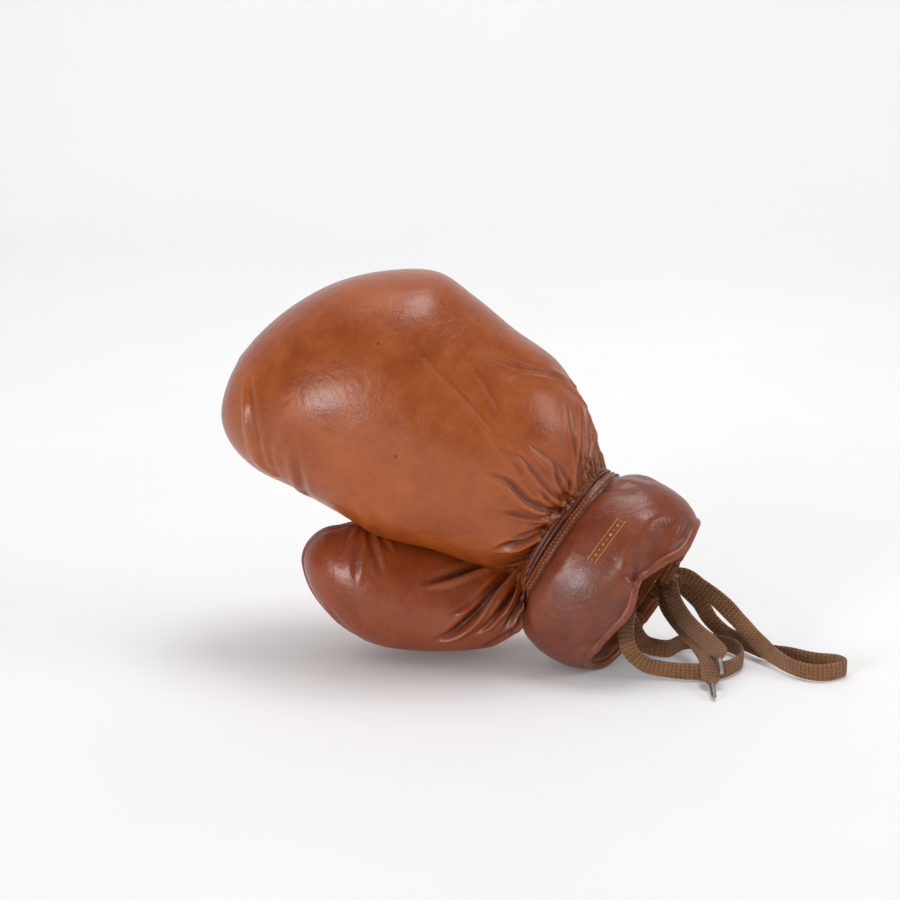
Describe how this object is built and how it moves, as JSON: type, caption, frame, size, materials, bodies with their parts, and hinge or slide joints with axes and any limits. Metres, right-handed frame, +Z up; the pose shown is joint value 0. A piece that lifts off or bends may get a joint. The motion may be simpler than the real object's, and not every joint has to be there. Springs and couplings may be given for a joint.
{
  "type": "boxing glove",
  "caption": "Laced leather boxing glove for the right hand, with a padded fist, a separate thumb and a short cuff that laces up the palm side.",
  "frame": {"origin": "middle of the flat on the thumb that the glove rests on, at floor level", "axes": "+Z up; the knuckles point to -X and up; the back of the hand faces -Y; the cuff's mouth opens to +X, down and a little to -Y"},
  "size_m": [0.3554, 0.153, 0.2235],
  "materials": {
    "leather_fist": "worn satin tan leather",
    "leather_cuff": "satin red-brown leather",
    "binding": "rolled leather binding",
    "facing": "suede side of tan leather",
    "lining": "dark woven cotton lining",
    "padding": "curled hair padding in cotton",
    "thread": "waxed linen thread",
    "lace": "flat woven cotton lace",
    "aglet": "dull crimped metal",
    "eyelet": "blackened brass"
  },
  "bodies": {
    "fist": {"back_panel": "leather_fist", "palm_panel": "leather_fist", "fist_seam_welt": "leather_fist", "knuckle_pad": "padding", "palm_pad": "padding", "grip_bar": "padding", "hand_lining": "lining"},
    "thumb": {"thumb_outer_panel": "leather_fist", "thumb_inner_panel": "leather_fist", "thumb_seam_welt": "leather_fist", "thumb_pad": "padding", "thumb_lining": "lining", "thumb_root_gusset": "leather_fist"},
    "cuff": {"cuff_back_leather": "leather_cuff", "cuff_back_pad": "padding", "cuff_back_lining": "lining", "cuff_back_rim_binding": "binding", "cuff_back_stitches": "thread", "tongue": "facing", "wrist_neck": "leather_fist", "wrist_welt": "binding", "lace_rungs": "lace", "lace_knot": "lace"},
    "thumb_side_flap": {"thumb_flap_leather": "leather_cuff", "thumb_flap_pad": "padding", "thumb_flap_lining": "lining", "thumb_flap_rim_binding": "binding", "thumb_flap_stitches": "thread", "thumb_flap_eyelet_stay": "facing", "thumb_flap_eyelets": "eyelet"},
    "little_side_flap": {"little_flap_leather": "leather_cuff", "little_flap_pad": "padding", "little_flap_lining": "lining", "little_flap_rim_binding": "binding", "little_flap_stitches": "thread", "little_flap_eyelet_stay": "facing", "little_flap_eyelets": "eyelet"},
    "long_loop": {"lace_long_loop": "lace"},
    "short_loop": {"lace_short_loop": "lace"},
    "tail_a": {"lace_tail_a": "lace", "aglet_a": "aglet"},
    "tail_b": {"lace_tail_b": "lace", "aglet_b": "aglet"}
  },
  "joints": [
    {"name": "wrist_bend", "type": "hinge", "parent": "fist", "child": "cuff", "pos_m": [0.073, -0.005, 0.07], "axis": [-0.5626, -0.1722, -0.8086], "range_deg": [-9, 9], "deforming": ["wrist_neck", "wrist_welt"]},
    {"name": "thumb_swing", "type": "hinge", "parent": "fist", "child": "thumb", "pos_m": [0.05, -0.008, 0.042], "axis": [0, 0, -1], "range_deg": [-4, 11], "deforming": ["thumb_root_gusset"]},
    {"name": "thumb_side_flap_open", "type": "hinge", "parent": "cuff", "child": "thumb_side_flap", "pos_m": [0.06589, -0.01679, 0.00449], "axis": [-0.8, 0.36, 0.48], "range_deg": [0, 14], "deforming": ["lace_rungs", "lace_knot"]},
    {"name": "little_side_flap_open", "type": "hinge", "parent": "cuff", "child": "little_side_flap", "pos_m": [0.13453, 0.00422, 0.10314], "axis": [-0.8, 0.36, 0.48], "range_deg": [-14, 0], "deforming": ["lace_rungs", "lace_knot"]},
    {"name": "long_loop_lift", "type": "hinge", "parent": "cuff", "child": "long_loop", "pos_m": [0.1395, 0.018, 0.0384], "axis": [0, -1, 0], "range_deg": [0, 10]},
    {"name": "short_loop_swing", "type": "hinge", "parent": "cuff", "child": "short_loop", "pos_m": [0.112, -0.014, 0.034], "axis": [0, 0, 1], "range_deg": [0, 6]},
    {"name": "tail_a_swing", "type": "hinge", "parent": "cuff", "child": "tail_a", "pos_m": [0.1395, 0.018, 0.0384], "axis": [0, 0, 1], "range_deg": [0, 10]},
    {"name": "tail_b_swing", "type": "hinge", "parent": "cuff", "child": "tail_b", "pos_m": [0.1395, 0.018, 0.0384], "axis": [0, 0, 1], "range_deg": [-6, 0]}
  ],
  "couplings": [
    {"joint": "little_side_flap_open", "follows": "thumb_side_flap_open", "ratio": -1}
  ]
}
